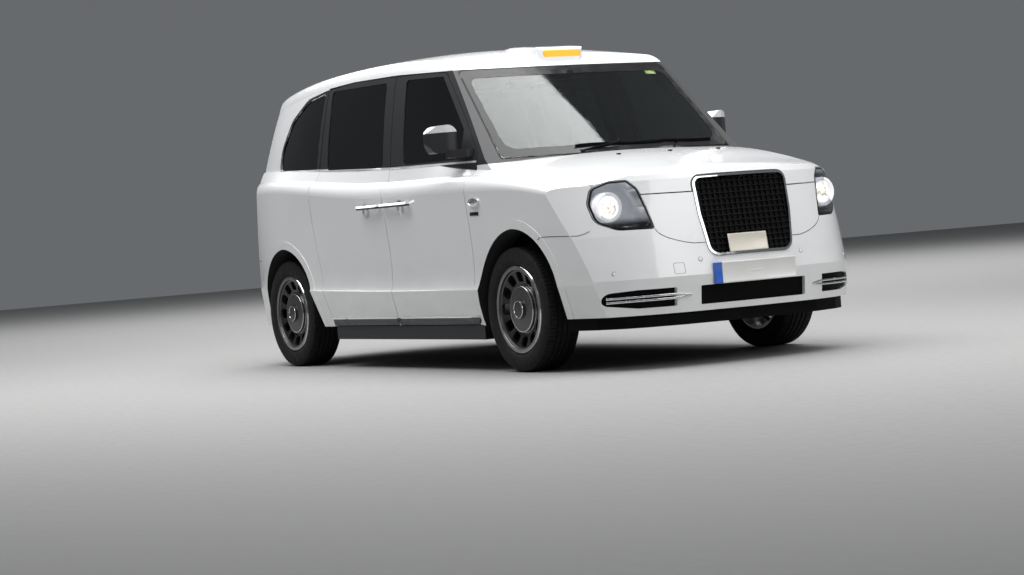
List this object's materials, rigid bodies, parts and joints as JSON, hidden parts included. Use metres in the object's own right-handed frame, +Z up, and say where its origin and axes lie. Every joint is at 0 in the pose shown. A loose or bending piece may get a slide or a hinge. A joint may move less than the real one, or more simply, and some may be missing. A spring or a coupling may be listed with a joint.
{
  "type": "taxi cab",
  "caption": "Purpose built taxi cab with hinged doors, bonnet and tailgate, steered front wheels and an amber roof sign.",
  "frame": {"origin": "on the ground at mid length and mid width", "axes": "+X forward, +Y to the car's left, +Z up"},
  "size_m": [4.8571, 2.0328, 1.8822],
  "materials": {
    "amber_lens": "gloss",
    "black_plastic": "matte",
    "bright_trim": "polished",
    "cabin_floor": "matte",
    "cabin_plastic": "matte",
    "cast_steel": "as cast",
    "clear_glass": "polished",
    "dark_glass": "polished",
    "gloss_black": "gloss",
    "lamp_body": "gloss",
    "lamp_clear": "polished",
    "paint_white": "gloss",
    "red_lens": "gloss",
    "satin_black": "satin",
    "seat_cloth": "woven",
    "tyre_rubber": "matte",
    "wheel_silver": "satin"
  },
  "bodies": {
    "root": {"floor_pan": "cabin_floor", "battery_pack": "cast_steel", "engine_block": "cast_steel", "suspension": "cast_steel", "door_frame_left": "satin_black", "door_frame_right": "satin_black", "rear_quarter_left": "paint_white", "rear_quarter_right": "paint_white", "roof_panel": "paint_white", "roof_sign_pod": "paint_white", "roof_sign_lens": "amber_lens", "fixed_glass": "clear_glass", "scuttle": "black_plastic", "front_wing_left": "paint_white", "front_wing_right": "paint_white", "nose_panel": "paint_white", "front_bumper": "paint_white", "front_lip": "black_plastic", "grille_surround": "bright_trim", "grille_mesh": "gloss_black", "lower_grilles": "black_plastic", "headlamps": "lamp_body", "headlamp_lenses": "lamp_clear", "tail_lamps": "red_lens", "rear_bumper": "paint_white", "dashboard": "cabin_plastic", "driver_seat": "seat_cloth", "rear_bench": "seat_cloth", "folding_seats": "seat_cloth", "partition": "cabin_plastic"},
    "door_front_left_body": {"door_front_left": "paint_white", "glass_front_left": "dark_glass", "handle_front_left": "bright_trim", "mirror_left": "gloss_black"},
    "door_rear_left_body": {"door_rear_left": "paint_white", "glass_rear_left": "dark_glass", "handle_rear_left": "bright_trim"},
    "knuckle_left_body": {"knuckle_left": "cast_steel"},
    "wheel_front_left_body": {"rim_front_left": "wheel_silver", "tyre_front_left": "tyre_rubber"},
    "wheel_rear_left_body": {"rim_rear_left": "wheel_silver", "tyre_rear_left": "tyre_rubber"},
    "door_front_right_body": {"door_front_right": "paint_white", "glass_front_right": "dark_glass", "handle_front_right": "bright_trim", "mirror_right": "gloss_black"},
    "door_rear_right_body": {"door_rear_right": "paint_white", "glass_rear_right": "dark_glass", "handle_rear_right": "bright_trim"},
    "knuckle_right_body": {"knuckle_right": "cast_steel"},
    "wheel_front_right_body": {"rim_front_right": "wheel_silver", "tyre_front_right": "tyre_rubber"},
    "wheel_rear_right_body": {"rim_rear_right": "wheel_silver", "tyre_rear_right": "tyre_rubber"},
    "bonnet_body": {"bonnet": "paint_white"},
    "tailgate_body": {"tailgate": "paint_white", "glass_tailgate": "dark_glass"},
    "steering_body": {"steering_wheel": "cabin_plastic"}
  },
  "joints": [
    {"name": "door_front_left_hinge", "type": "hinge", "parent": "root", "child": "door_front_left_body", "pos_m": [0.988, 0.94, 0.8], "axis": [0, 0, -1], "range_deg": [0, 70]},
    {"name": "door_rear_left_hinge", "type": "hinge", "parent": "root", "child": "door_rear_left_body", "pos_m": [-1.046, 0.94, 0.8], "axis": [0, 0, 1], "range_deg": [0, 90]},
    {"name": "steer_left", "type": "hinge", "parent": "root", "child": "knuckle_left_body", "pos_m": [1.3985, 0.7465, 0.343], "axis": [0, 0, 1], "range_deg": [-45, 45]},
    {"name": "wheel_front_left_roll", "type": "hinge", "parent": "knuckle_left_body", "child": "wheel_front_left_body", "pos_m": [1.3985, 0.7765, 0.343], "axis": [0, 1, 0], "continuous": true},
    {"name": "wheel_rear_left_roll", "type": "hinge", "parent": "root", "child": "wheel_rear_left_body", "pos_m": [-1.5865, 0.7765, 0.343], "axis": [0, 1, 0], "continuous": true},
    {"name": "door_front_right_hinge", "type": "hinge", "parent": "root", "child": "door_front_right_body", "pos_m": [0.988, -0.94, 0.8], "axis": [0, 0, 1], "range_deg": [0, 70]},
    {"name": "door_rear_right_hinge", "type": "hinge", "parent": "root", "child": "door_rear_right_body", "pos_m": [-1.046, -0.94, 0.8], "axis": [0, 0, -1], "range_deg": [0, 90]},
    {"name": "steer_right", "type": "hinge", "parent": "root", "child": "knuckle_right_body", "pos_m": [1.3985, -0.7465, 0.343], "axis": [0, 0, 1], "range_deg": [-45, 45]},
    {"name": "wheel_front_right_roll", "type": "hinge", "parent": "knuckle_right_body", "child": "wheel_front_right_body", "pos_m": [1.3985, -0.7765, 0.343], "axis": [0, 1, 0], "continuous": true},
    {"name": "wheel_rear_right_roll", "type": "hinge", "parent": "root", "child": "wheel_rear_right_body", "pos_m": [-1.5865, -0.7765, 0.343], "axis": [0, 1, 0], "continuous": true},
    {"name": "bonnet_hinge", "type": "hinge", "parent": "root", "child": "bonnet_body", "pos_m": [1.255, 0, 1.19], "axis": [0, -1, 0], "range_deg": [0, 50]},
    {"name": "tailgate_hinge", "type": "hinge", "parent": "root", "child": "tailgate_body", "pos_m": [-1.99, 0, 1.805], "axis": [0, 1, 0], "range_deg": [0, 80]},
    {"name": "steering_turn", "type": "hinge", "parent": "root", "child": "steering_body", "pos_m": [0.6, -0.38, 0.985], "axis": [-0.8988, 0, 0.4384], "range_deg": [-480, 480]}
  ],
  "couplings": [
    {"joint": "steer_left", "follows": "steering_turn", "ratio": 0.09375},
    {"joint": "steer_right", "follows": "steering_turn", "ratio": 0.09375}
  ]
}
